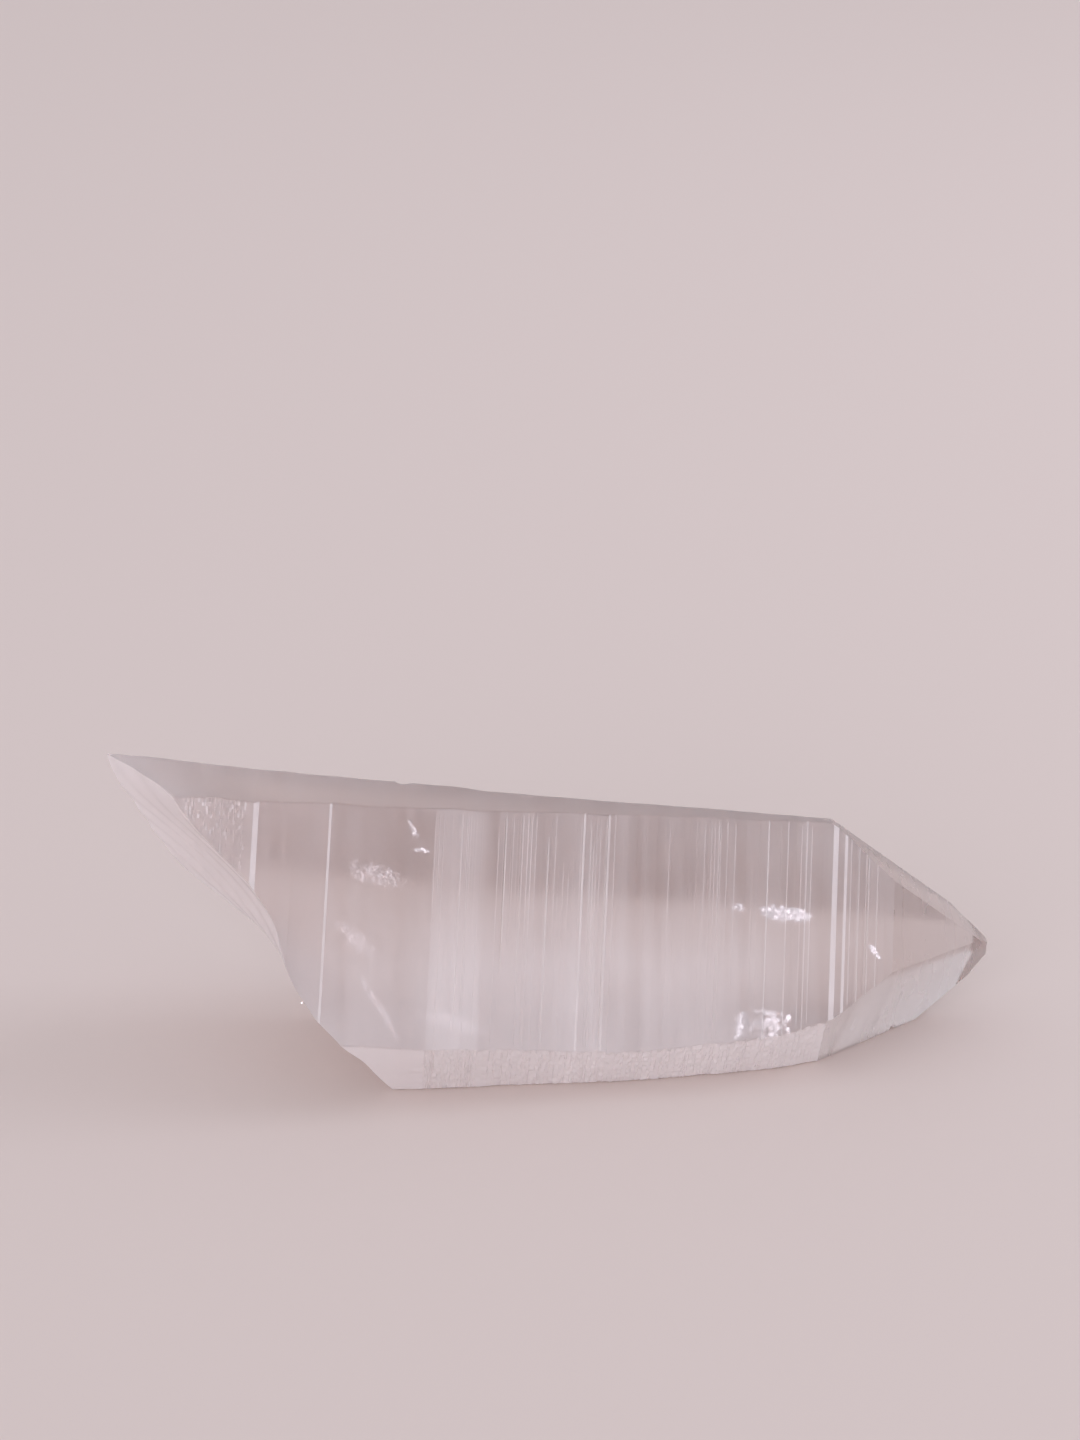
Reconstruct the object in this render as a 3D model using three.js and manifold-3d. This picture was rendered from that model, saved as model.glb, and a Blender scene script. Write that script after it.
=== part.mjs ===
// A smoky quartz point: one natural crystal, broken off its matrix, lying on a prism face.
// The crystal's own frame has X along the crystal axis towards the tip, with 0 at the apex,
// Z up and -Y to the front. A turn of 0 degrees about the axis faces up, 90 degrees faces front.
import * as THREE from "three";
import { LoftGeometry } from "three/addons/geometries/LoftGeometry.js";
import { mergeVertices } from "three/addons/utils/BufferGeometryUtils.js";
import Module from "manifold-3d";

// Driving dimensions, in millimetres and degrees.
const BACK_END = -118; // behind the break, where the uncut bar starts
const FRONT_END = 8; // past the tip, where the uncut bar ends
const POINT_TILT = 51.79; // from the axis to the normal of a rhomb face, as in all quartz
const LEDGE_TILT = 90 - POINT_TILT; // growth ledges step down on small rhomb facets
const NARROWEST_FACE = 0.3; // a prism face thins to this as the rhomb faces take over
const REST_TAPER = 3.7; // the face it lies on, to the axis
const REST_DEPTH = 10.95; // from the apex straight down to the face it lies on
const TIP_WEAR = 1.2; // the worn facet, past where the main rhomb faces meet
const TIP_LEAN = 6; // of the worn facet, upwards
const APEX_X = 52.86; // where the apex stands in the part's frame, over its box's bottom centre
const APEX_Y = 4.62;

// One entry for each prism face and the rhomb face over its front end, in order round the axis.
// Offset is from the axis at the back end, point is where the rhomb face crosses the axis,
// and each ledge is its distance behind the apex and the depth it steps down by.
const FACES = [
  // The top face.
  {
    turn: 0,
    offset: 18,
    taper: 0.45,
    point: 0.05,
    ledges: [[101, 0.35], [92, 0.3], [78, 0.2], [64, 0.2], [50, 0.15], [33, 0.1]],
  },
  // The front face.
  {
    turn: 60,
    offset: 17.75,
    taper: 1.4,
    point: -0.25,
    ledges: [
      [97, 0.35], [89.9, 0.5], [84.5, 0.25], [80.9, 0.35], [73.3, 0.3], [67.9, 0.4], [65.4, 0.15],
      [61.9, 0.3], [57.1, 0.3], [53.5, 0.25], [50.4, 0.3], [47.4, 0.2], [42.6, 0.15], [38.9, 0.2],
      [35.2, 0.15], [31.6, 0.15], [27.9, 0.15], [25.5, 0.1], [23.2, 0.1], [19.9, 0.5], [18.4, 0.3],
      [15.7, 0.1], [14.3, 0.1],
    ],
  },
  // The lower front face.
  {
    turn: 120,
    offset: 25,
    taper: 2.3,
    point: -0.2,
    ledges: [
      [66, 0.3], [60.5, 0.4], [55, 0.2], [49, 0.25], [43.5, 0.4], [39.5, 0.5], [35.5, 0.6],
      [30.5, 0.7], [26.5, 0.6], [23.8, 0.75], [21.6, 0.75],
    ],
  },
  // The rest face.
  {
    turn: 180,
    offset: 19.5,
    taper: REST_TAPER,
    point: 7.6,
    ledges: [],
  },
  // The lower back face.
  {
    turn: 240,
    offset: 12.6,
    taper: 1.3,
    point: 7.4,
    ledges: [[96, 0.4], [81, 0.3], [68, 0.4], [53, 0.3], [41, 0.35], [30, 0.3], [22, 0.3]],
  },
  // The upper back face.
  {
    turn: 300,
    offset: 10.95,
    taper: 1.2,
    point: 4.6,
    ledges: [
      [97, 0.5], [85, 0.45], [71, 0.3], [64, 0.45], [57, 0.25], [40, 0.1], [29, 0.2], [23.5, 0.2],
    ],
  },
];

// The break: a curved surface across the back end, slanting down and towards the tip.
const BREAK_AT = -91.4; // on the axis
const BREAK_LEAN = 44; // top hangs out over the foot
const BREAK_SWING = 30; // back hangs out past the front
const BREAK_BOW = -0.01; // curvature across, per millimetre
const BREAK_CUP = 0.008; // curvature down, per millimetre
const BREAK_TWIST = 0.016; // change of lean across, per millimetre
const WAVE_LENGTH = 19.5; // of the shell-like waves down the break
const WAVE_HEIGHT = 1.3; // at the front edge
const WAVE_CREST = 16.5; // height of a crest over the axis
const WAVE_FADE = 15; // from the axis to the front edge, over which the waves die out
const WAVE_FOOT = -16; // height under the axis where the waves have died out
const RIPPLE_LENGTH = 5.2; // of the finer ripples
const RIPPLE_HEIGHT = 0.22;
const RIPPLE_SLANT = 0.6; // rise of a ripple towards the back, per millimetre across
const BREAK_STEPS_ACROSS = 22;
const BREAK_STEPS_DOWN = 24;
const BREAK_WIDTH = 64;

// Chips knocked out of edges: the corner of the section, distance behind the apex and radius.
// Corner k lies between face k and the next.
const CHIP_OUT = 1.02; // centre of a chip's ball, as a share of the corner's distance from the axis
const CHIPS = [
  { corner: 5, behind: 72.3, radius: 0.9 },
  { corner: 2, behind: 58, radius: 0.7 },
  { corner: 2, behind: 45.5, radius: 0.9 },
  { corner: 2, behind: 33, radius: 0.8 },
];

const rad = THREE.MathUtils.degToRad;
const axis = new THREE.Vector3(1, 0, 0);
const wasm = await Module();
wasm.setup();

// Unit vector square to the axis at a turn about it.
function outward(turn) {
  return new THREE.Vector3(0, -Math.sin(rad(turn)), Math.cos(rad(turn)));
}

// A face's distance from the axis at x: its own taper, less the ledges behind x.
function offsetAt(face, x) {
  let offset = face.offset - (x - BACK_END) * Math.tan(rad(face.taper));
  for (const [behind, drop] of face.ledges) {
    const run = drop / Math.tan(rad(LEDGE_TILT));
    offset -= drop * THREE.MathUtils.clamp((x + behind) / run, 0, 1);
  }
  return offset;
}

// The six corners of the bar at x.
function section(x) {
  const step = rad(60);
  const wanted = FACES.map((face) => offsetAt(face, x));
  const offsets = wanted.map((offset, k) => {
    const neighbours = wanted[(k + 5) % 6] + wanted[(k + 1) % 6];
    return Math.min(offset, neighbours - NARROWEST_FACE * Math.sin(step));
  });
  return FACES.map((face, k) => {
    const next = offsets[(k + 1) % 6];
    const along = (next - offsets[k] * Math.cos(step)) / Math.sin(step);
    const corner = outward(face.turn).multiplyScalar(offsets[k]);
    corner.addScaledVector(outward(face.turn + 90), along);
    return corner.setX(x);
  });
}

// Where sections are needed: both ends, and the head and foot of every ledge.
function stations() {
  const places = [BACK_END, FRONT_END];
  for (const face of FACES) {
    for (const [behind, drop] of face.ledges) {
      places.push(-behind, -behind + drop / Math.tan(rad(LEDGE_TILT)));
    }
  }
  return [...new Set(places)].sort((a, b) => a - b);
}

// A closed geometry as a solid that can be cut.
function solid(geometry) {
  const bare = new THREE.BufferGeometry().copy(geometry);
  bare.deleteAttribute("normal");
  bare.deleteAttribute("uv");
  const merged = mergeVertices(bare, 1e-4);
  const vertProperties = new Float32Array(merged.attributes.position.array);
  const triVerts = new Uint32Array(merged.index.array);
  return new wasm.Manifold(new wasm.Mesh({ numProp: 3, vertProperties, triVerts }));
}

// A block filling everything on the outer side of a plane through a point.
function outside(normal, point) {
  const size = 200;
  const block = new THREE.BoxGeometry(size, size, size);
  block.translate(0, 0, size / 2);
  block.applyQuaternion(new THREE.Quaternion().setFromUnitVectors(new THREE.Vector3(0, 0, 1), normal));
  block.translate(point.x, point.y, point.z);
  return solid(block);
}

// How far along the axis the break lies, for a place across and above the axis.
function breakAt(front, above) {
  const lean = Math.tan(rad(BREAK_LEAN));
  const swing = Math.tan(rad(BREAK_SWING));
  const across = 0.5 + 0.5 * THREE.MathUtils.clamp(front / WAVE_FADE, -1, 1);
  const foot = THREE.MathUtils.clamp((2 * (above - WAVE_FOOT)) / -WAVE_FOOT, 0, 1);
  const crest = Math.cos((2 * Math.PI * (above - WAVE_CREST)) / WAVE_LENGTH);
  const ripple = Math.sin((2 * Math.PI * (above + RIPPLE_SLANT * front)) / RIPPLE_LENGTH);
  const plane = BREAK_AT + swing * front - lean * above;
  const curve = BREAK_BOW * front ** 2 + BREAK_CUP * above ** 2 + BREAK_TWIST * front * above;
  return plane + curve - WAVE_HEIGHT * across * foot * crest + RIPPLE_HEIGHT * ripple;
}

// The block behind the break, its front side shaped to the broken surface.
function brokenEnd() {
  const block = new THREE.BoxGeometry(2, BREAK_WIDTH, BREAK_WIDTH, 1, BREAK_STEPS_ACROSS, BREAK_STEPS_DOWN);
  const position = block.attributes.position;
  for (let i = 0; i < position.count; i += 1) {
    const isBreak = position.getX(i) > 0;
    const reach = isBreak ? breakAt(-position.getY(i), position.getZ(i)) : BACK_END - BREAK_WIDTH;
    position.setX(i, reach);
  }
  return solid(block);
}

// The bar of prism faces with its ledges, cut by the rhomb faces, the break and the wear.
function crystal() {
  const bar = new LoftGeometry(stations().map(section), { closed: true, capStart: true, capEnd: true });
  let body = solid(bar);
  for (const face of FACES) {
    const normal = outward(face.turn).multiplyScalar(Math.sin(rad(POINT_TILT)));
    normal.addScaledVector(axis, Math.cos(rad(POINT_TILT)));
    body = body.subtract(outside(normal, new THREE.Vector3(face.point, 0, 0)));
  }
  const worn = new THREE.Vector3(Math.cos(rad(TIP_LEAN)), 0, Math.sin(rad(TIP_LEAN)));
  body = body.subtract(outside(worn, new THREE.Vector3(TIP_WEAR, 0, 0)));
  const down = new THREE.Vector3(Math.sin(rad(REST_TAPER)), 0, -Math.cos(rad(REST_TAPER)));
  body = body.subtract(outside(down, new THREE.Vector3(0, 0, -REST_DEPTH)));
  body = body.subtract(brokenEnd());
  for (const chip of CHIPS) {
    const corner = section(-chip.behind)[chip.corner];
    const ball = new THREE.IcosahedronGeometry(chip.radius, 1);
    ball.translate(corner.x, corner.y * CHIP_OUT, corner.z * CHIP_OUT);
    body = body.subtract(solid(ball));
  }
  const mesh = body.getMesh();
  const geometry = new THREE.BufferGeometry();
  geometry.setAttribute("position", new THREE.BufferAttribute(mesh.vertProperties, 3));
  geometry.setIndex(new THREE.BufferAttribute(mesh.triVerts, 1));
  return geometry;
}

// The crystal tips forward by the taper of the face it lies on, which puts that face on the ground.
const quartz = new THREE.MeshStandardMaterial({
  color: 0xc3b6b2,
  roughness: 0.15,
  metalness: 0,
  transparent: true,
  opacity: 0.7,
});
const point = new THREE.Mesh(crystal(), quartz);
point.name = "quartz_point";
point.rotation.y = rad(REST_TAPER);
point.position.set(APEX_X, APEX_Y, REST_DEPTH * Math.cos(rad(REST_TAPER)));

const specimen = new THREE.Group();
specimen.add(point);
export default specimen;
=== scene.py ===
# %% [markdown]
# # A smoky quartz point
# One natural crystal lies on its side: a six-sided bar that tapers in growth ledges, a tip of sloping
# rhomb faces and a slanting break where it came off the rock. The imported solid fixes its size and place.
# This lesson gives it the fine surface, the hazy smoky body and the white veils inside.

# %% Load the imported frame
import math
import bmesh
import bpy
import numpy as np
from mathutils import Matrix, Vector


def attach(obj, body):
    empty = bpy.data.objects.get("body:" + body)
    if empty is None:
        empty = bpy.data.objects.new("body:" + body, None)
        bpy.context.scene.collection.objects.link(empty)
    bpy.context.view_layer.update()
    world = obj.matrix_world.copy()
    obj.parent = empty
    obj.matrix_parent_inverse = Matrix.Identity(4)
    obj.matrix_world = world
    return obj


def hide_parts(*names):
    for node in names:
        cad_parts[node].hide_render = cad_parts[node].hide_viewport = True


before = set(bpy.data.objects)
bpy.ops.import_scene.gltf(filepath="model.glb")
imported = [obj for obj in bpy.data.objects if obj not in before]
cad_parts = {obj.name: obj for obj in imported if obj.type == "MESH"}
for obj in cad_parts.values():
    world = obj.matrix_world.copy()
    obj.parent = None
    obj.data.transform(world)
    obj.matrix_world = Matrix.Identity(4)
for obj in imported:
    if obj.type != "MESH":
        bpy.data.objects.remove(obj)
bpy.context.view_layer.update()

# %% [markdown]
# ## The rule behind the shape
# Quartz always has the same angles: prism faces stand 60 degrees apart round the axis, and each rhomb
# face of the tip leans 51.79 degrees from it. So the crystal needs few numbers: how far each face lies
# from the axis, and where it steps down. It could be sculpted, but then the angles would drift. Here it
# is worked out in a crystal frame, in millimetres: X runs along the axis with 0 at the apex, Z is up and
# -Y is the front.

# %% Driving sizes, in millimetres and radians
MM = 0.001
BACK_END = -118.0
FRONT_END = 8.0
POINT_TILT = math.radians(51.79)
LEDGE_RUN = math.tan(POINT_TILT)
NARROWEST_FACE = 0.3
EDGE_WEAR = 0.12
REST_TAPER = math.radians(3.7)
REST_DEPTH = 10.95
TIP_WEAR = 1.2
TIP_LEAN = math.radians(6)
APEX = Vector((52.86, 4.62, REST_DEPTH * math.cos(REST_TAPER)))
AXIS = np.array([1.0, 0.0, 0.0])
SIN60 = math.sin(math.pi / 3)
print("a ledge runs", round(LEDGE_RUN, 2), "times its drop along the axis")

# %% [markdown]
# ## Six faces
# `offset` is a face's distance from the axis at the back end, `taper` its fall in degrees and `point` the
# place where its rhomb face meets the axis. `lines` scales its growth lines. `frost` runs from 0, clear
# and polished, to 1, white and matt: the front is satin, the underside is scuffed from years of wear.

# %% The faces, in order round the axis
FACES = [
    dict(name="top", turn=0, offset=18, taper=0.45, point=0.05, columns=10, lines=0, frost=0.33),
    dict(name="front", turn=60, offset=17.75, taper=1.4, point=-0.25, columns=60, lines=1, frost=0.34),
    dict(name="lower_front", turn=120, offset=25, taper=2.3, point=-0.2, columns=16, lines=0.5, frost=0.9),
    dict(name="rest", turn=180, offset=19.5, taper=3.7, point=7.6, columns=2, lines=0, frost=0.9),
    dict(name="lower_back", turn=240, offset=12.6, taper=1.3, point=7.4, columns=20, lines=1.2, frost=0.35),
    dict(name="upper_back", turn=300, offset=10.95, taper=1.2, point=4.6, columns=20, lines=0.8, frost=0.72),
]
TOP, FRONT, LOWER_FRONT, REST, LOWER_BACK, UPPER_BACK = range(6)
print(len(FACES), "faces,", sum(face["columns"] for face in FACES), "columns of points")

# %% [markdown]
# ## Ledges and swells
# A crystal grows in layers, and each layer ends in a step. A crisp ledge has a riser that is itself a
# small rhomb facet, so it shows as a bright bar across the face. A swell is a step so worn or so spread
# out that the face only sinks a little. Each is a distance behind the apex and a drop.

# %% Crisp ledges and soft swells
LEDGES = {
    "front": [(89.9, 0.5), (80.9, 0.22), (50.4, 0.2), (47.4, 0.2), (46.6, 0.1), (27.9, 0.12), (25.5, 0.1),
              (23.2, 0.12), (19.9, 0.55), (18.4, 0.3), (15.7, 0.1), (14.3, 0.1)],
    "lower_back": [(96, 0.4), (81, 0.3), (68, 0.4), (53, 0.3), (41, 0.35), (30, 0.3), (22, 0.3)],
}
SWELL_RUN = 5.0
SWELLS = {
    "top": [(101, 0.35), (92, 0.3), (78, 0.2), (64, 0.2), (50, 0.15), (33, 0.1)],
    "front": [(97, 0.35), (84.5, 0.3), (73.3, 0.3), (67.9, 0.4), (61.9, 0.45), (57.1, 0.4), (53.5, 0.25),
              (42.6, 0.25), (38.9, 0.2), (35.2, 0.15), (31.6, 0.15)],
    "lower_front": [(66, 0.3), (60.5, 0.4), (55, 0.2), (49, 0.25), (43.5, 0.4), (39.5, 0.5), (35.5, 0.6),
                    (30.5, 0.7), (26.5, 0.6), (23.8, 0.75), (21.6, 0.75)],
    "upper_back": [(97, 0.5), (85, 0.45), (71, 0.3), (64, 0.45), (57, 0.25), (40, 0.1), (29, 0.2),
                   (23.5, 0.2)],
}


def offset_at(face, x):
    offset = face["offset"] - math.tan(math.radians(face["taper"])) * (x - BACK_END)
    for behind, drop in LEDGES.get(face["name"], []):
        offset = offset - drop * np.clip((x + behind) / (drop * LEDGE_RUN), 0, 1)
    for behind, drop in SWELLS.get(face["name"], []):
        share = np.clip((x + behind) / SWELL_RUN + 0.5, 0, 1)
        offset = offset - drop * share * share * (3 - 2 * share)
    return offset


print("front face falls from", FACES[FRONT]["offset"], "to", round(float(offset_at(FACES[FRONT], 0.0)), 2))

# %% [markdown]
# ## Growth lines
# Between the ledges run bands of fine lines, like a bar code, that mark this kind of quartz. They go
# round the bar, so every face shares their places and takes its own heights. A line rises slowly and
# drops at a small riser, and many of them fade out partway across the face.

# %% Places and heights of the growth lines
LINE_BANDS = [
    dict(start=99, end=90.8, spacing=0.9, height=0.02),
    dict(start=89, end=81.8, spacing=1.5, height=0.02),
    dict(start=68.2, end=61.9, spacing=0.3, height=0.02),
    dict(start=60.6, end=44.5, spacing=0.42, height=0.03),
    dict(start=44.5, end=30, spacing=0.4, height=0.015),
    dict(start=30, end=20.8, spacing=0.6, height=0.02),
    dict(start=17.6, end=12.8, spacing=0.5, height=0.03),
]
LINE_SPREAD = 0.8
TALLEST_LINE = 0.12
NARROWEST_RISER = 0.12
WIDEST_RISER = 0.6
GAP_SPREAD = (0.4, 1.6)
rng = np.random.default_rng(7)
places = []
heights = []
for band in LINE_BANDS:
    x = -band["start"]
    while x < -band["end"]:
        places.append(x)
        heights.append(min(TALLEST_LINE, band["height"] * rng.lognormal(0, LINE_SPREAD)))
        x += band["spacing"] * rng.uniform(*GAP_SPREAD)
line_places = np.array(places)
line_heights = np.array(heights)
room = np.append(np.diff(line_places), 1.0)
line_runs = np.maximum(LEDGE_RUN * line_heights, NARROWEST_RISER)
line_runs = np.minimum(line_runs, WIDEST_RISER * room)
line_nodes = np.column_stack([line_places, line_places + line_runs]).ravel()
print(len(line_places), "growth lines, up to", round(line_heights.max(), 3), "mm high")

# %% [markdown]
# ## A grid of points
# The bar is a loft: rows of points along the axis, columns round it. A row stands at the top and at the
# foot of every riser, which keeps them crisp with few points. A Subdivision Surface would round them off.

# %% Rows along the axis
PIT_PATCH = (98.5, 90.6)
PIT_SPACING = 0.25
COARSE_SPACING = 2.0
FINE_SPACING = 0.8
FINE_RANGE = (-66, -12)
CLOSEST_ROWS = 0.01
row_set = {BACK_END, FRONT_END} | set(line_nodes)
row_set |= set(np.arange(-PIT_PATCH[0], -PIT_PATCH[1], PIT_SPACING))
row_set |= set(np.arange(BACK_END, FINE_RANGE[0], COARSE_SPACING))
row_set |= set(np.arange(*FINE_RANGE, FINE_SPACING))
for ledges in LEDGES.values():
    for behind, drop in ledges:
        row_set |= {-behind, -behind + drop * LEDGE_RUN}
rows = np.array(sorted(row_set))
rows = rows[np.append(True, np.diff(rows) > CLOSEST_ROWS)]
print(len(rows), "rows")

# %% Corners of the six-sided section at every row
def outward(turn):
    return np.array([0.0, -math.sin(math.radians(turn)), math.cos(math.radians(turn))])


wanted = np.array([offset_at(face, rows) for face in FACES])
neighbours = np.roll(wanted, 1, 0) + np.roll(wanted, -1, 0)
offsets = np.minimum(wanted, neighbours - NARROWEST_FACE * SIN60)
corners = []
for k, face in enumerate(FACES):
    along = (offsets[(k + 1) % 6] - 0.5 * offsets[k]) / SIN60
    corner = offsets[k][:, None] * outward(face["turn"]) + along[:, None] * outward(face["turn"] + 90)
    corner[:, 0] = rows
    corners.append(corner)
print("widest section:", np.round(np.ptp(np.array(corners), axis=(0, 1))[1:], 1), "mm")

# %% Columns across the faces, raised by the growth lines, pitted and scuffed
LINE_FADE = 0.08
FULL_START = 0.6
FULL_END = 0.5
LATEST_START = 0.6
SHORTEST_LINE = 0.2
LATEST_END = 1.1
WIDEST_INSET = 0.25
CLEAN_EDGE = 0.03
PIT_REACH = 0.45
PIT_DEPTH = 0.16
SCUFF = 0.1
SCUFF_START = -70
in_patch = (rows > -PIT_PATCH[0]) & (rows < -PIT_PATCH[1])
columns = []
column_heights = []
column_face = []
column_across = []
for k, face in enumerate(FACES):
    start, end = corners[k - 1], corners[k]
    inset = np.minimum(EDGE_WEAR / np.linalg.norm(end - start, axis=1), WIDEST_INSET)
    lines = len(line_places)
    first = np.where(rng.random(lines) < FULL_START, 0, rng.uniform(0, LATEST_START, lines))
    last = np.where(rng.random(lines) < FULL_END, 1, rng.uniform(first + SHORTEST_LINE, LATEST_END))
    for across in np.linspace(0, 1, face["columns"]):
        share = inset + across * (1 - 2 * inset)
        begins = np.clip((across - first) / LINE_FADE + 1, 0, 1)
        ends = np.clip((last - across) / LINE_FADE + 1, 0, 1)
        inside = min(1, across / CLEAN_EDGE, (1 - across) / CLEAN_EDGE)
        tops = face["lines"] * line_heights * begins * ends * inside
        relief = np.interp(rows, line_nodes, np.column_stack([tops, 0 * tops]).ravel())
        if k == FRONT and across < PIT_REACH:
            pits = PIT_DEPTH * (1 - across / PIT_REACH) * rng.random(len(rows)) ** 3
            relief = relief - in_patch * pits
        if k == LOWER_FRONT:
            relief = relief + SCUFF * rng.uniform(-1, 1, len(rows)) * (rows > SCUFF_START)
        columns.append(start + share[:, None] * (end - start) + relief[:, None] * outward(face["turn"]))
        column_heights.append(offsets[k] + relief)
        column_face.append(k)
        column_across.append(across)
grid = np.stack(columns, 1)
print(grid.shape[0] * grid.shape[1], "points")

# %% [markdown]
# ## Frost
# How white and matt a spot is becomes a number on every face of the mesh, an attribute that the material
# reads later. It could be painted by hand, but here each value follows from the shape. A quad takes the
# frost of its crystal face. Bands of the front are hazy with lines too fine to model, its lower half is
# paler than its upper half, and risers are etched white, a little unevenly.

# %% Frost of every quad of the bar
HAZE = [(-68.2, -61.9, 0.12), (-60.6, -44.5, 0.04), (-99, -90, 0.08)]
LOW_HAZE = 0.27
LOW_HAZE_DOWN = (0.3, 0.65)
LOW_HAZE_ALONG = (-86, -68, -34, -20)
LOW_HAZE_SHARES = (0.35, 1, 1, 0)
RISER_SLOPE = 0.3
RISER_DROP = 0.012
RISER_FROST = (0.55, 0.95)
FROST_PER_DROP = 2.5
RISER_WEAR = 0.82
HAZE_EDGE = 0.7
levels = np.stack(column_heights, 1)
fall = levels[:-1] - levels[1:]
steep = (fall / np.diff(rows)[:, None] > RISER_SLOPE) & (fall > RISER_DROP)
frost = np.tile(np.array([FACES[k]["frost"] for k in column_face]), (len(rows) - 1, 1))
middle = 0.5 * (rows[:-1] + rows[1:])[:, None]
on_front = (np.array(column_face) == FRONT)[None, :]
for start, end, haze in HAZE:
    ramp = (start - HAZE_EDGE, start + HAZE_EDGE, end - HAZE_EDGE, end + HAZE_EDGE)
    frost = frost + on_front * np.interp(middle, ramp, (0, haze, haze, 0))
low_haze = np.interp(column_across, LOW_HAZE_DOWN, (0, LOW_HAZE))[None, :]
frost = frost + on_front * low_haze * np.interp(middle, LOW_HAZE_ALONG, LOW_HAZE_SHARES)
riser_frost = np.clip(RISER_FROST[0] + FROST_PER_DROP * fall, *RISER_FROST)
riser_frost = riser_frost * np.random.default_rng(9).uniform(RISER_WEAR, 1, riser_frost.shape)
frost = np.where(steep, np.maximum(frost, riser_frost), frost)
print(int(steep.sum()), "riser quads")

# %% The bar as a mesh
count = grid.shape[1]
row, column = np.meshgrid(np.arange(len(rows) - 1), np.arange(count), indexing="ij")
near = row * count + column
beside = row * count + (column + 1) % count
quads = np.stack([near, beside, beside + count, near + count], -1).reshape(-1, 4)
last_row = (len(rows) - 1) * count
caps = [tuple(range(count))[::-1], tuple(range(last_row, last_row + count))]
bar = bpy.data.meshes.new("bar")
bar.from_pydata(grid.reshape(-1, 3).tolist(), [], quads.tolist() + caps)
frost_values = np.append(frost.ravel(), [0, 0]).astype(np.float32)
bar.attributes.new("frost", "FLOAT", "FACE").data.foreach_set("value", frost_values)
print(len(bar.polygons), "faces")

# %% [markdown]
# ## The point
# Six planes at the rhomb angle cut the end of the bar to a point, one more wears its tip and a last one
# makes the flat underside on which the crystal rests. Bisect cuts the mesh along a plane and drops what
# lies outside, and one new face closes the cut, so each facet is truly flat.

# %% Slice the rhomb faces, the worn tip and the rest face
RHOMB_FROST = 0.25
TIP_FROST = 0.1
work = bmesh.new()
work.from_mesh(bar)
bmesh.ops.recalc_face_normals(work, faces=work.faces)
frost_layer = work.faces.layers.float["frost"]


def slice_off(normal, point, frost):
    everything = work.verts[:] + work.edges[:] + work.faces[:]
    bmesh.ops.bisect_plane(work, geom=everything, dist=1e-5, plane_co=point, plane_no=normal,
                           clear_outer=True)
    rim = [edge for edge in work.edges if edge.is_boundary]
    for face in bmesh.ops.contextual_create(work, geom=rim)["faces"]:
        face[frost_layer] = frost


for face in FACES:
    normal = math.sin(POINT_TILT) * outward(face["turn"]) + math.cos(POINT_TILT) * AXIS
    slice_off(normal, (face["point"], 0, 0), RHOMB_FROST)
slice_off((math.cos(TIP_LEAN), 0, math.sin(TIP_LEAN)), (TIP_WEAR, 0, 0), TIP_FROST)
slice_off((math.sin(REST_TAPER), 0, -math.cos(REST_TAPER)), (0, 0, -REST_DEPTH), FACES[REST]["frost"])
bmesh.ops.recalc_face_normals(work, faces=work.faces)
work.to_mesh(bar)
print("open edges:", sum(edge.is_boundary for edge in work.edges))
work.free()
quartz = bpy.data.objects.new("quartz_crystal", bar)
bpy.context.scene.collection.objects.link(quartz)

# %% [markdown]
# ## The break
# Quartz has no cleavage, so it breaks like glass: a curved, rippled surface with a slow wave across it
# and rings that spread from where the blow struck. A formula gives the surface, a block with that front
# is taken away with an exact Boolean, and the block's own frost attribute goes over to the new faces.

# %% The broken surface as a formula
BREAK_AT = -91.4
BREAK_LEAN = math.tan(math.radians(44))
BREAK_SWING = math.tan(math.radians(30))
BREAK_BOW = -0.01
BREAK_CUP = 0.008
BREAK_TWIST = 0.016
WAVE_LENGTH = 19.5
WAVE_HEIGHT = 1.3
WAVE_CREST = 16.5
WAVE_FADE = 15
WAVE_FOOT = -16
STRIKE = (24.0, 26.0)
RING_LENGTH = 4.6
RING_HEIGHT = 0.09
RING_BEND = 1.5
HACKLE_LENGTH = 1.9
HACKLE_HEIGHT = 0.012
HACKLE_SLANT = 0.7
HACKLE_BEND = 2.0


def break_at(front, above):
    plane = BREAK_AT + BREAK_SWING * front - BREAK_LEAN * above
    curve = BREAK_BOW * front ** 2 + BREAK_CUP * above ** 2 + BREAK_TWIST * front * above
    across = 0.5 + 0.5 * np.clip(front / WAVE_FADE, -1, 1)
    foot = np.clip(2 * (above - WAVE_FOOT) / -WAVE_FOOT, 0, 1)
    wave = WAVE_HEIGHT * across * foot * np.cos(2 * math.pi * (above - WAVE_CREST) / WAVE_LENGTH)
    away = np.hypot(front - STRIKE[0], above - STRIKE[1])
    ring = RING_HEIGHT * np.sin(2 * math.pi * away / RING_LENGTH + RING_BEND * np.sin(0.4 * above))
    bend = HACKLE_BEND * np.sin(0.5 * away)
    hackle = HACKLE_HEIGHT * np.sin(2 * math.pi * (above - HACKLE_SLANT * front) / HACKLE_LENGTH + bend)
    return plane + curve - wave + ring + hackle


print("the break crosses the axis at", round(float(break_at(0.0, 0.0)), 1), "mm")

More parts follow.
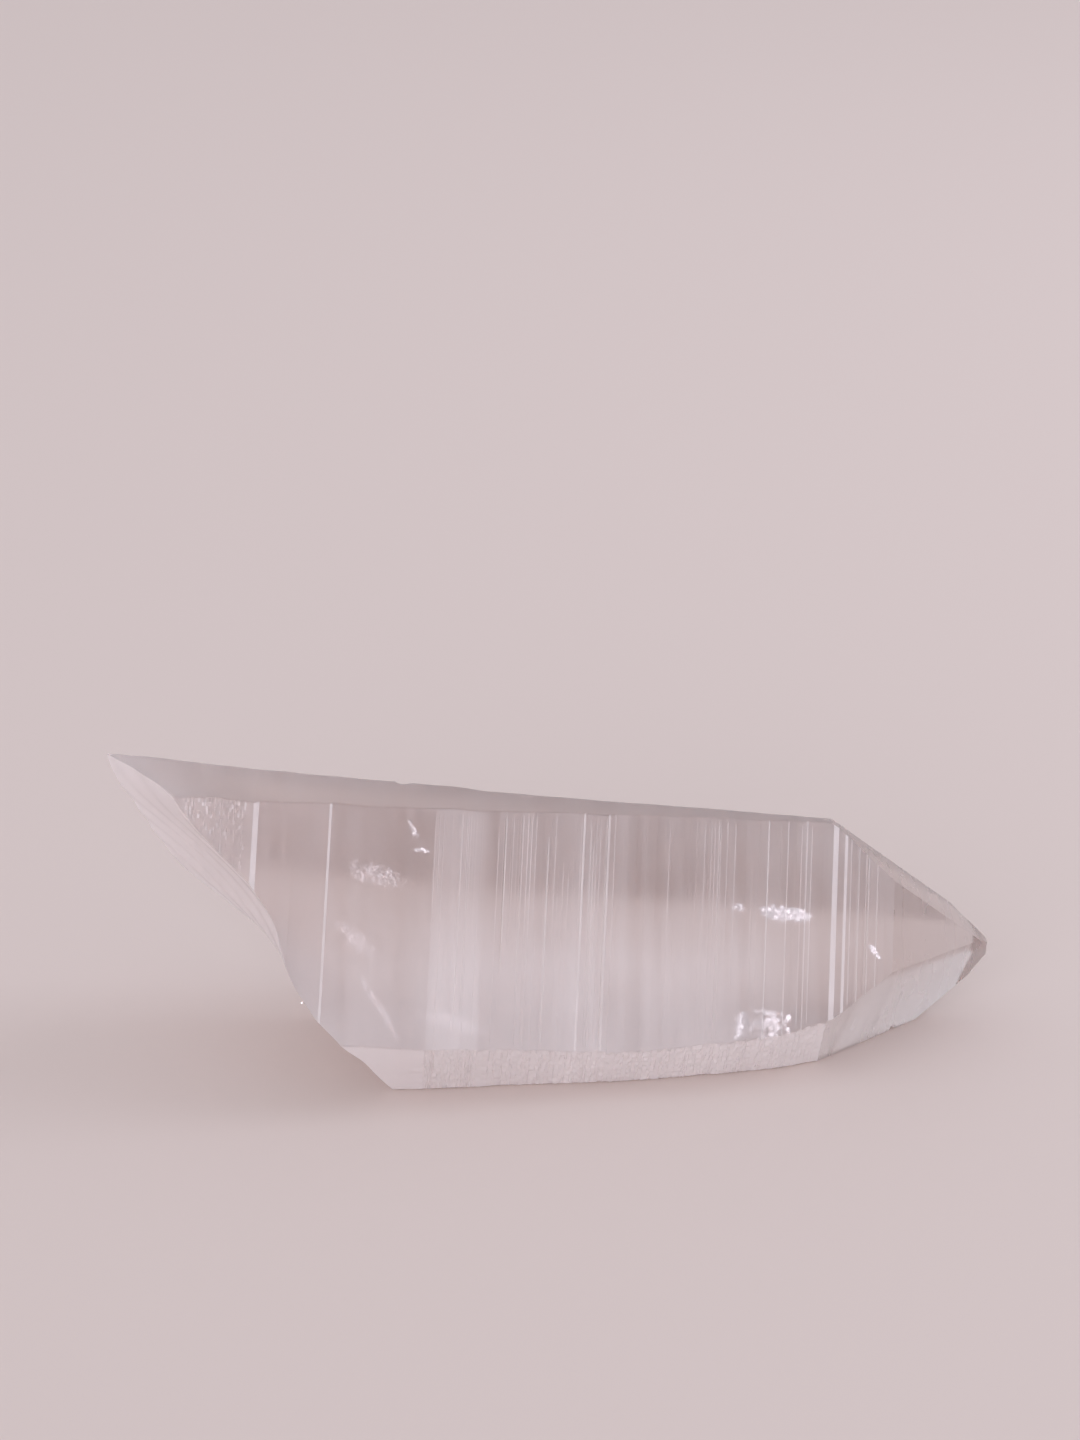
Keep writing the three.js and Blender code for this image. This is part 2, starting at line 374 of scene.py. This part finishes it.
# %% The block that is broken away
BLOCK_HALF = 32
BLOCK_BACK = -190
BREAK_STEPS = 150
BREAK_FROST = 0.88
steps = np.linspace(-BLOCK_HALF, BLOCK_HALF, BREAK_STEPS)
across, up = np.meshgrid(steps, steps, indexing="ij")
surface = np.stack([break_at(-across, up), across, up], -1).reshape(-1, 3)
cutter_work = bmesh.new()
cutter_frost = cutter_work.faces.layers.float.new("frost")
points = [cutter_work.verts.new(p) for p in surface]
for i in range(BREAK_STEPS - 1):
    for j in range(BREAK_STEPS - 1):
        a = i * BREAK_STEPS + j
        ring = (a, a + BREAK_STEPS, a + BREAK_STEPS + 1, a + 1)
        cutter_work.faces.new([points[v] for v in ring])
rim = [edge for edge in cutter_work.edges if edge.is_boundary]
sides = bmesh.ops.extrude_edge_only(cutter_work, edges=rim)["geom"]
for vert in sides:
    if isinstance(vert, bmesh.types.BMVert):
        vert.co.x = BLOCK_BACK
back_rim = [edge for edge in cutter_work.edges if edge.is_boundary]
bmesh.ops.contextual_create(cutter_work, geom=back_rim)
print("block faces:", len(cutter_work.faces), "open:", sum(e.is_boundary for e in cutter_work.edges))

# %% [markdown]
# ## Nicks
# Small shell-shaped chips sit along the worn edges: one notch on the top back edge, a row along the lower
# edge that has rubbed on other stones and one bright chip under the tip. Each is a lumpy little ball that
# is taken away together with the block.

# %% Nicks along the edges
NICKS = [(UPPER_BACK, 72.3, 0.9), (LOWER_FRONT, 66.5, 0.7)]
TIP_NICK = (Vector((-10, -2.3, -11.6)), 0.75)
EDGE_NICKS = 24
EDGE_RANGE = (62, 24)
NICK_LUMPS = 0.18
NICK_SHIFT = 0.25
NICK_SIZES = (0.2, 0.45)


def corner_at(k, behind):
    return Vector([np.interp(-behind, rows, corners[k][:, axis]) for axis in range(3)])


nick_balls = [(corner_at(k, behind), radius) for k, behind, radius in NICKS] + [TIP_NICK]
for behind in np.linspace(*EDGE_RANGE, EDGE_NICKS):
    shifted = behind + rng.uniform(-NICK_SHIFT, NICK_SHIFT)
    nick_balls.append((corner_at(LOWER_FRONT, shifted), rng.uniform(*NICK_SIZES)))
for centre, radius in nick_balls:
    ball = bmesh.ops.create_icosphere(cutter_work, subdivisions=2, radius=radius)["verts"]
    for vert in ball:
        vert.co = centre + vert.co * rng.uniform(1 - NICK_LUMPS, 1 + NICK_LUMPS)
for face in cutter_work.faces:
    face[cutter_frost] = BREAK_FROST
bmesh.ops.recalc_face_normals(cutter_work, faces=cutter_work.faces)
cutter_mesh = bpy.data.meshes.new("break_block")
cutter_work.to_mesh(cutter_mesh)
cutter_work.free()
cutter = bpy.data.objects.new("break_block", cutter_mesh)
bpy.context.scene.collection.objects.link(cutter)
print(len(nick_balls), "nicks")

# %% Take the block and the nicks away
cut = quartz.modifiers.new("break", "BOOLEAN")
cut.operation = "DIFFERENCE"
cut.solver = "EXACT"
cut.object = cutter
crystal = bpy.data.meshes.new_from_object(quartz.evaluated_get(bpy.context.evaluated_depsgraph_get()))
quartz.modifiers.clear()
bpy.data.objects.remove(cutter)
quartz.data = crystal
print(len(crystal.polygons), "faces after the break")

# %% [markdown]
# ## Into the part's frame
# The finished mesh is turned so that the rest face lies level, moved to its place and scaled to metres.
# Smooth shading with sharp edges above a few degrees keeps swells soft and facets flat.

# %% Place and shade the crystal
SHARP_ANGLE = math.radians(6)
crystal_to_part = Matrix.Scale(MM, 4) @ Matrix.Translation(APEX) @ Matrix.Rotation(REST_TAPER, 4, "Y")
crystal.transform(crystal_to_part)
crystal.shade_smooth()
crystal.set_sharp_from_angle(angle=SHARP_ANGLE)
check = bmesh.new()
check.from_mesh(crystal)
print("volume in cm3:", round(check.calc_volume(signed=True) * 1e6, 2))
print("open edges:", sum(not edge.is_manifold for edge in check.edges))
print("triangles:", sum(len(face.verts) - 2 for face in check.faces))
check.free()

# %% [markdown]
# ## Smoky quartz
# Quartz bends light with an IOR of 1.544. Natural radiation tints it a thin smoky brown, so the body has
# a weak, plain absorption that shows only over centimetres. Growth faces are satin, not polished: the eye
# gets a soft view into the stone and no sharp reflections. Where the surface is etched or broken it
# scatters light and turns white, so frost raises the roughness and lowers the clear share. Long streaks
# and wide clouds vary it a little, and matt faces get a fine grain.

# %% Colours and nodes
def linear(hex_code):
    parts = [int(hex_code[i:i + 2], 16) / 255 for i in (1, 3, 5)]
    return [c / 12.92 if c <= 0.04045 else ((c + 0.055) / 1.055) ** 2.4 for c in parts] + [1.0]


def add_node(tree, kind, values=None, links=None, **settings):
    node = tree.nodes.new(kind)
    for setting, value in settings.items():
        setattr(node, setting, value)
    for socket, value in (values or {}).items():
        node.inputs[socket].default_value = value
    for socket, source in (links or {}).items():
        tree.links.new(source, node.inputs[socket])
    return node


def new_material(name):
    material = bpy.data.materials.new(name)
    material.use_nodes = True
    return material, material.node_tree, material.node_tree.nodes["Principled BSDF"]


# %% The smoky quartz material
QUARTZ_IOR = 1.544
STREAK_WIDTH = 1.3
STREAK_LENGTH = 60.0
CLOUD = 7.0
GRAIN = 0.35
GRAIN_DEPTH = 0.02
UNEVEN = 0.2
SATIN = 0.3
SMOKE_DENSITY = 28.0
smoky_quartz, tree, shader = new_material("smoky_quartz")
shader.inputs["Base Color"].default_value = linear("#f8f4f3")
shader.inputs["IOR"].default_value = QUARTZ_IOR
spot = add_node(tree, "ShaderNodeTexCoord")
frost = add_node(tree, "ShaderNodeAttribute", attribute_name="frost")
streak_scale = [1 / (size * MM) for size in (STREAK_WIDTH, STREAK_LENGTH, STREAK_LENGTH)]
along = add_node(tree, "ShaderNodeMapping", {"Rotation": (0, -REST_TAPER, 0), "Scale": streak_scale},
                 {"Vector": spot.outputs["Object"]})
streaks = add_node(tree, "ShaderNodeTexNoise", {"Scale": 1.0, "Detail": 1.0}, {"Vector": along.outputs[0]})
clouds = add_node(tree, "ShaderNodeTexNoise", {"Scale": 1 / (CLOUD * MM), "Detail": 3.0},
                  {"Vector": spot.outputs["Object"]})
mottle = add_node(tree, "ShaderNodeMath", {}, {0: streaks.outputs["Fac"], 1: clouds.outputs["Fac"]})
uneven = add_node(tree, "ShaderNodeMath", {1: UNEVEN, 2: -UNEVEN}, {0: mottle.outputs[0]},
                  operation="MULTIPLY_ADD")
frosted = add_node(tree, "ShaderNodeMath", {}, {0: frost.outputs["Fac"], 1: uneven.outputs[0]})
rough = add_node(tree, "ShaderNodeMapRange", {"To Min": 0.04, "To Max": 0.95},
                 {"Value": frosted.outputs[0]})
clear = add_node(tree, "ShaderNodeMapRange", {"From Min": SATIN, "To Min": 0.92, "To Max": 0.35},
                 {"Value": frosted.outputs[0]})
grain = add_node(tree, "ShaderNodeTexNoise", {"Scale": 1 / (GRAIN * MM), "Detail": 2.0},
                 {"Vector": spot.outputs["Object"]})
matt = add_node(tree, "ShaderNodeMapRange", {"From Min": SATIN}, {"Value": frost.outputs["Fac"]})
bump = add_node(tree, "ShaderNodeBump", {"Distance": GRAIN_DEPTH * MM},
                {"Height": grain.outputs["Fac"], "Strength": matt.outputs["Result"]})
tree.links.new(rough.outputs["Result"], shader.inputs["Roughness"])
tree.links.new(clear.outputs["Result"], shader.inputs["Transmission Weight"])
tree.links.new(bump.outputs["Normal"], shader.inputs["Normal"])
smoke = add_node(tree, "ShaderNodeVolumeAbsorption", {"Color": linear("#d9c3b8"), "Density": SMOKE_DENSITY})
tree.links.new(smoke.outputs["Volume"], tree.nodes["Material Output"].inputs["Volume"])
crystal.materials.clear()
crystal.materials.append(smoky_quartz)
print(len(tree.nodes), "nodes in", smoky_quartz.name)

# %% [markdown]
# ## Veils
# Inside the stone hang white veils: healed cracks full of tiny plates and bubbles. Each is a small sheet
# that lies a few millimetres under the front face. Geometry Nodes scatter thin six-sided plates over the
# sheets, because hand-placing them would take days and a particle system doesn't export. `plates` is how
# many lie on a square millimetre. The last sheet is wide and `even`: loose specks through the whole stone.

# %% Sheets of the veils, placed by distance behind the apex and share down the front face
VEILS = [
    dict(behind=25.4, down=0.43, depth=2.2, length=6.4, width=1.6, turn=3, tilt=4, plates=110, plate=0.2),
    dict(behind=31.2, down=0.39, depth=2.2, length=1.4, width=0.8, turn=10, tilt=4, plates=34, plate=0.18),
    dict(behind=30.2, down=0.93, depth=1.2, length=1.8, width=3.4, turn=8, tilt=4, plates=40, plate=0.2),
    dict(behind=26.8, down=0.93, depth=1.6, length=6.0, width=3.6, turn=0, tilt=4, plates=7, plate=0.24),
    dict(behind=14.3, down=0.62, depth=1.2, length=2.6, width=0.7, turn=48, tilt=4, plates=34, plate=0.16),
    dict(behind=74.8, down=0.28, depth=3.0, length=7.5, width=3.0, turn=8, tilt=4, plates=26, plate=0.07),
    dict(behind=69.9, down=0.17, depth=1.8, length=1.9, width=0.6, turn=0, tilt=4, plates=36, plate=0.12),
    dict(behind=74.0, down=0.82, depth=2.5, length=11.0, width=0.8, turn=55, tilt=4, plates=24, plate=0.08),
    dict(behind=77.0, down=0.55, depth=3.5, length=8.0, width=2.2, turn=40, tilt=4, plates=18, plate=0.07),
    dict(behind=71.0, down=0.08, depth=2.0, length=4.0, width=0.8, turn=62, tilt=4, plates=24, plate=0.08),
    dict(behind=65.0, down=0.88, depth=2.5, length=9.0, width=2.2, turn=14, tilt=4, plates=24, plate=0.08),
    dict(behind=50.0, down=0.5, depth=5.0, length=68.0, width=21.0, turn=0, tilt=4, plates=0.4, plate=0.07,
         even=True),
]
SHEET_STEPS = 12
SAG = 0.1
face_down = outward(FACES[FRONT]["turn"] + 90)
face_in = -outward(FACES[FRONT]["turn"])


def veil_sheet(veil):
    top = np.array(corner_at(TOP, veil["behind"]))
    foot = np.array(corner_at(FRONT, veil["behind"]))
    middle = top + veil["down"] * (foot - top) + veil["depth"] * face_in
    turn, tilt = math.radians(veil["turn"]), math.radians(veil["tilt"])
    long_way = math.cos(turn) * AXIS + math.sin(turn) * face_down
    cross = math.cos(turn) * face_down - math.sin(turn) * AXIS
    short_way = math.cos(tilt) * cross + math.sin(tilt) * face_in
    shares = np.linspace(-0.5, 0.5, SHEET_STEPS)
    u, v = (part.ravel()[:, None] for part in np.meshgrid(shares, shares, indexing="ij"))
    sag = SAG * veil["width"] * np.sin(3 * u + veil["behind"]) * face_in
    return middle + u * veil["length"] * long_way + v * veil["width"] * short_way + sag, u, v


# %% All sheets as one mesh, with what each needs as attributes
EDGE_SOFTNESS = 1.6
sheet_points = []
sheet_faces = []
plates_per_area = []
plate_sizes = []
for veil in VEILS:
    points, u, v = veil_sheet(veil)
    first = len(sheet_points)
    sheet_points += points.tolist()
    fade = np.clip(EDGE_SOFTNESS * (1 - 2 * np.hypot(u, v)), 0, 1).ravel()
    if veil.get("even"):
        fade = np.ones_like(fade)
    plates_per_area += (fade * veil["plates"] / MM ** 2).tolist()
    plate_sizes += [veil["plate"] * MM] * len(fade)
    for i in range(SHEET_STEPS - 1):
        for j in range(SHEET_STEPS - 1):
            a = first + i * SHEET_STEPS + j
            sheet_faces.append((a, a + 1, a + SHEET_STEPS + 1, a + SHEET_STEPS))
sheets = bpy.data.meshes.new("veil_sheets")
sheets.from_pydata(sheet_points, [], sheet_faces)
for name, values in (("plates", plates_per_area), ("plate", plate_sizes)):
    sheets.attributes.new(name, "FLOAT", "POINT").data.foreach_set("value", np.array(values, np.float32))
sheets.transform(crystal_to_part)
veils = bpy.data.objects.new("veils", sheets)
bpy.context.scene.collection.objects.link(veils)
print(len(VEILS), "sheets")

# %% [markdown]
# ## Veil plates
# A healed crack shines because it holds thin films of air and liquid, which mirror the light and look
# silvery white. Films that thin can't be traced, so each plate has a soft white mirror in their place, and
# a noise as wide as a few plates mixes two whites.

# %% The veil material
PLATE_PATCH = 0.6
healed_crack, tree, shader = new_material("healed_crack")
shader.inputs["Metallic"].default_value = 1.0
shader.inputs["Roughness"].default_value = 0.3
spot = add_node(tree, "ShaderNodeTexCoord")
patches = add_node(tree, "ShaderNodeTexNoise", {"Scale": 1 / (PLATE_PATCH * MM)},
                   {"Vector": spot.outputs["Object"]})
whites = add_node(tree, "ShaderNodeMix", {6: linear("#e6dfe2"), 7: linear("#ffffff")},
                  {"Factor": patches.outputs["Fac"]}, data_type="RGBA")
tree.links.new(whites.outputs[2], shader.inputs["Base Color"])
print(len(tree.nodes), "nodes in", healed_crack.name)

# %% The tree that scatters the plates
scatter = bpy.data.node_groups.new("scatter_plates", "GeometryNodeTree")
scatter.is_modifier = True
sockets = scatter.interface
sockets.new_socket("Geometry", in_out="OUTPUT", socket_type="NodeSocketGeometry")
sockets.new_socket("Geometry", in_out="INPUT", socket_type="NodeSocketGeometry")
seed_socket = sockets.new_socket("Seed", in_out="INPUT", socket_type="NodeSocketInt")
tilt_socket = sockets.new_socket("Plate Tilt", in_out="INPUT", socket_type="NodeSocketFloat")
spread_socket = sockets.new_socket("Veil Thickness", in_out="INPUT", socket_type="NodeSocketFloat")
inputs = add_node(scatter, "NodeGroupInput").outputs
density = add_node(scatter, "GeometryNodeInputNamedAttribute", {"Name": "plates"}, data_type="FLOAT")
size = add_node(scatter, "GeometryNodeInputNamedAttribute", {"Name": "plate"}, data_type="FLOAT")
points = add_node(scatter, "GeometryNodeDistributePointsOnFaces", {},
                  {"Mesh": inputs["Geometry"], "Density": density.outputs["Attribute"],
                   "Seed": inputs["Seed"]})
above = add_node(scatter, "FunctionNodeRandomValue", {2: -1.0, 3: 1.0, "Seed": 11}, data_type="FLOAT")
lift = add_node(scatter, "ShaderNodeMath", {}, {0: above.outputs[1], 1: inputs["Veil Thickness"]},
                operation="MULTIPLY")
shift = add_node(scatter, "ShaderNodeVectorMath", {},
                 {0: points.outputs["Normal"], "Scale": lift.outputs[0]}, operation="SCALE")
moved = add_node(scatter, "GeometryNodeSetPosition", {},
                 {"Geometry": points.outputs["Points"], "Offset": shift.outputs["Vector"]})
lean = add_node(scatter, "FunctionNodeRandomValue", {0: (-1, -1, -1), 1: (1, 1, 1), "Seed": 12},
                data_type="FLOAT_VECTOR")
leaning = add_node(scatter, "ShaderNodeVectorMath", {}, {0: lean.outputs[0], "Scale": inputs["Plate Tilt"]},
                   operation="SCALE")
turned = add_node(scatter, "FunctionNodeRotateRotation", {},
                  {"Rotation": points.outputs["Rotation"], "Rotate By": leaning.outputs["Vector"]},
                  rotation_space="LOCAL")
vary = add_node(scatter, "FunctionNodeRandomValue", {2: 0.5, 3: 1.5, "Seed": 13}, data_type="FLOAT")
radius = add_node(scatter, "ShaderNodeMath", {}, {0: vary.outputs[1], 1: size.outputs["Attribute"]},
                  operation="MULTIPLY")
plate = add_node(scatter, "GeometryNodeMeshCylinder", {"Vertices": 6, "Radius": 1.0, "Depth": 0.25})
plates = add_node(scatter, "GeometryNodeInstanceOnPoints", {},
                  {"Points": moved.outputs["Geometry"], "Instance": plate.outputs["Mesh"],
                   "Rotation": turned.outputs["Rotation"], "Scale": radius.outputs[0]})
solid = add_node(scatter, "GeometryNodeRealizeInstances", {}, {"Geometry": plates.outputs["Instances"]})
white = add_node(scatter, "GeometryNodeSetMaterial", {"Material": healed_crack},
                 {"Geometry": solid.outputs["Geometry"]})
add_node(scatter, "NodeGroupOutput", {}, {"Geometry": white.outputs["Geometry"]})
print(len(scatter.nodes), "nodes in", scatter.name)

# %% Scatter the plates and keep them as a plain mesh
PLATE_TILT = math.radians(7)
VEIL_THICKNESS = 0.35
PLATE_SEED = 5
FACES_PER_PLATE = 8
modifier = veils.modifiers.new("plates", "NODES")
modifier.node_group = scatter
modifier[seed_socket.identifier] = PLATE_SEED
modifier[tilt_socket.identifier] = PLATE_TILT
modifier[spread_socket.identifier] = VEIL_THICKNESS * MM
plate_mesh = bpy.data.meshes.new_from_object(veils.evaluated_get(bpy.context.evaluated_depsgraph_get()))
veils.modifiers.clear()
veils.data = plate_mesh
print(len(plate_mesh.polygons) // FACES_PER_PLATE, "plates")

# %% [markdown]
# ## Hand the pieces to the frame
# Both pieces ride on the one body. The crystal stands for the imported solid, which stays hidden for
# collision, and the veils lie inside it.

# %% Ride and replace
for piece in (quartz, veils):
    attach(piece, "root")
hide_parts("quartz_point")
print("pieces:", quartz.name, veils.name)

# %% [markdown]
# ## Floor and light
# A plain pale floor lies a hair below the stone, so that the two never share a plane. Soft light comes
# from all round, a cool window stands to the right and a broad pale wall in front gives its light back.
# The wall is a sun lamp with a wide angle, so that it lights the floor evenly. Light crosses the stone many
# times before it leaves, so paths may be long: cut short, they turn black.

# %% A plain floor
FLOOR_HALF = 3.0
FLOOR_GAP = 0.15
ring = [(-1, -1), (1, -1), (1, 1), (-1, 1)]
floor_mesh = bpy.data.meshes.new("floor")
floor_points = [(FLOOR_HALF * x, FLOOR_HALF * y, -FLOOR_GAP * MM) for x, y in ring]
floor_mesh.from_pydata(floor_points, [], [(0, 1, 2, 3)])
floor = bpy.data.objects.new("floor", floor_mesh)
bpy.context.scene.collection.objects.link(floor)
pale_plaster, tree, shader = new_material("pale_plaster")
shader.inputs["Base Color"].default_value = linear("#d6c9c2")
shader.inputs["Roughness"].default_value = 0.7
floor_mesh.materials.append(pale_plaster)
print("floor", 2 * FLOOR_HALF, "m wide")

# %% Soft light all round and a window
world = bpy.data.worlds.new("studio")
bpy.context.scene.world = world
world.use_nodes = True
surround = world.node_tree.nodes["Background"]
surround.inputs["Color"].default_value = linear("#e2dfe6")
surround.inputs["Strength"].default_value = 0.94


def softbox(name, place, watts, colour, width):
    lamp = bpy.data.lights.new(name, "AREA")
    lamp.shape = "SQUARE"
    lamp.size = width
    lamp.energy = watts
    lamp.color = linear(colour)[:3]
    box = bpy.data.objects.new(name, lamp)
    box.location = place
    box.rotation_euler = (-Vector(place)).to_track_quat("-Z", "Y").to_euler()
    bpy.context.scene.collection.objects.link(box)


softbox("window", (0.8, 0.25, 0.55), 2.8, "#eef1ff", 0.7)

# %% The pale wall in front, and long light paths
WALL_SHINES = Vector((0.28, 0.96, -0.26))
glow = bpy.data.lights.new("front_wall", "SUN")
glow.energy = 1.52
glow.angle = math.radians(54)
glow.color = linear("#f6f2ff")[:3]
front_wall = bpy.data.objects.new("front_wall", glow)
front_wall.rotation_euler = WALL_SHINES.to_track_quat("-Z", "Y").to_euler()
bpy.context.scene.collection.objects.link(front_wall)
light_paths = bpy.context.scene.cycles
light_paths.max_bounces = 32
light_paths.glossy_bounces = 24
light_paths.transmission_bounces = 32
light_paths.diffuse_bounces = 6
print("lights:", [light.name for light in bpy.data.lights])

# %% [markdown]
# ## Camera
# The view is taken from a little above the front, with the stone low in an upright picture. A long lens
# keeps its edges nearly parallel. The focal length is worked out from pixels, for a picture 1440 high.

# %% The camera
PICTURE_HEIGHT = 1440
FOCAL_PIXELS = 3500
SENSOR = 36.0
LOOK_DOWN = math.radians(20.38)
LOOK_RIGHT = math.radians(1.148)
lens = bpy.data.cameras.new("camera")
lens.sensor_fit = "VERTICAL"
lens.sensor_height = SENSOR
lens.lens = FOCAL_PIXELS / PICTURE_HEIGHT * SENSOR
camera = bpy.data.objects.new("camera", lens)
camera.location = (-0.00954, -0.39118, 0.18757)
camera.rotation_euler = (math.pi / 2 - LOOK_DOWN, 0, -LOOK_RIGHT)
bpy.context.scene.collection.objects.link(camera)
bpy.context.scene.camera = camera
bpy.context.scene.view_settings.view_transform = "Standard"
print("lens:", round(lens.lens, 1), "mm")
